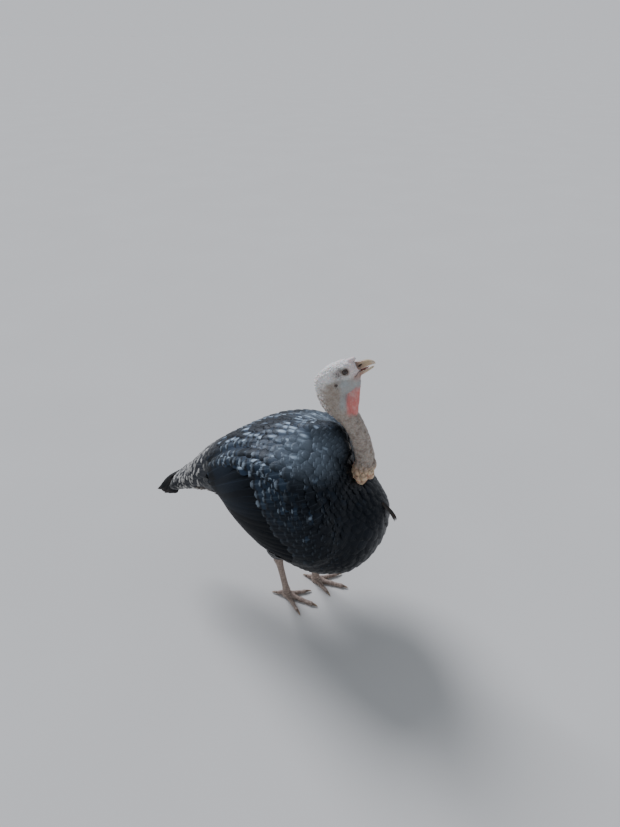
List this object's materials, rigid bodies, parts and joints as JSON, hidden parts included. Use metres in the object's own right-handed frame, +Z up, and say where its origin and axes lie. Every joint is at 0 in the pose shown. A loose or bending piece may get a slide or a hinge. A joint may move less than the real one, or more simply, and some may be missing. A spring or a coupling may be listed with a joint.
{
  "type": "domestic turkey",
  "caption": "Life-size domestic turkey tom in black plumage, standing alert on both feet with its bare head and neck raised, as a still display model.",
  "frame": {"origin": "on the floor, under the middle of the whole bird's bounding box", "axes": "+X forwards, the way the body faces, +Y to the bird's left, +Z up"},
  "size_m": [0.7231, 0.3826, 0.776],
  "materials": {
    "black_plumage": "glossy black contour feathers",
    "wing_plumage": "blue-black feathers with a grey sheen at the edges",
    "laced_plumage": "dark feathers with broad pale grey edges",
    "tail_plumage": "brown-black tail feathers, worn at the tips",
    "beard_bristle": "coarse black bristle",
    "head_skin": "bare skin, white to pale blue, beaded at the crown",
    "neck_skin": "rough bare skin with fine bristles",
    "caruncle_skin": "waxy cream beads",
    "dewlap_skin": "thin soft salmon-pink skin",
    "snood_skin": "wrinkled pale skin",
    "bill_horn": "horn, paler at the cutting edges",
    "eye": "wet dark brown iris and black pupil",
    "leg_scale": "scaled skin, greyish pink",
    "claw_horn": "dark horn"
  },
  "bodies": {
    "root": {"beard": "beard_bristle", "caruncles": "caruncle_skin", "claw_left_hind": "claw_horn", "claw_left_inner": "claw_horn", "claw_left_middle": "claw_horn", "claw_left_outer": "claw_horn", "claw_right_hind": "claw_horn", "claw_right_inner": "claw_horn", "claw_right_middle": "claw_horn", "claw_right_outer": "claw_horn", "dewlap": "dewlap_skin", "eye_left": "eye", "eye_right": "eye", "foot_left": "leg_scale", "foot_right": "leg_scale", "head": "head_skin", "lower_bill": "bill_horn", "neck_lower": "neck_skin", "neck_ruff": "black_plumage", "neck_upper": "neck_skin", "shank_left": "leg_scale", "shank_right": "leg_scale", "snood": "snood_skin", "spur_left": "claw_horn", "spur_right": "claw_horn", "tail_coverts": "laced_plumage", "tail_fan": "tail_plumage", "thigh_left": "black_plumage", "thigh_right": "black_plumage", "toe_left_hind": "leg_scale", "toe_left_inner": "leg_scale", "toe_left_middle": "leg_scale", "toe_left_outer": "leg_scale", "toe_right_hind": "leg_scale", "toe_right_inner": "leg_scale", "toe_right_middle": "leg_scale", "toe_right_outer": "leg_scale", "trunk": "black_plumage", "upper_bill": "bill_horn", "wing_left_coverts": "wing_plumage", "wing_left_primaries": "wing_plumage", "wing_left_secondaries": "wing_plumage", "wing_right_coverts": "wing_plumage", "wing_right_primaries": "wing_plumage", "wing_right_secondaries": "wing_plumage"}
  },
  "joints": []
}
